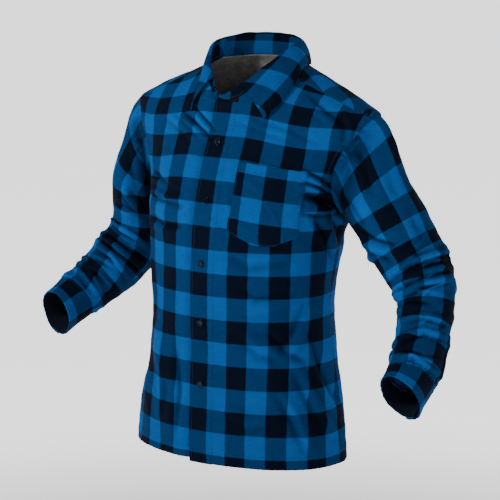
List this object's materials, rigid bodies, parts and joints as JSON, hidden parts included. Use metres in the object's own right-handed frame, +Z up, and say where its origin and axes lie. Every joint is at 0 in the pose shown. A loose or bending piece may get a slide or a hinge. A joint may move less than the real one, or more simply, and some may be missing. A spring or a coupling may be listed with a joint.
{
  "type": "flannel shirt",
  "caption": "Long-sleeved button-front shirt in buffalo-check flannel with a turned-down collar and chest pocket, filled out as if worn.",
  "frame": {"origin": "middle of the neck opening between the two shoulder necklines, where the shirt hangs from the wearer's neck and shoulders", "axes": "+Z up, +X towards the wearer's left sleeve, -Y towards the button front"},
  "size_m": [0.8702, 0.2953, 0.7818],
  "materials": {
    "check_flannel": "brushed two-colour check",
    "charcoal_lining": "melange knit-like weave",
    "button_navy": "polished"
  },
  "bodies": {
    "root": {"front_left": "check_flannel", "front_right": "check_flannel", "placket": "check_flannel", "back": "check_flannel", "yoke": "check_flannel", "back_lining": "charcoal_lining", "sleeve_left": "check_flannel", "sleeve_right": "check_flannel", "cuff_left": "check_flannel", "cuff_right": "check_flannel", "collar_stand": "check_flannel", "collar_leaf": "check_flannel", "pocket": "check_flannel", "sleeve_placket_left": "check_flannel", "sleeve_placket_right": "check_flannel", "button_1": "button_navy", "button_2": "button_navy", "button_3": "button_navy", "button_4": "button_navy", "button_5": "button_navy", "button_collar": "button_navy", "button_cuff_left": "button_navy", "button_cuff_right": "button_navy"}
  },
  "joints": []
}
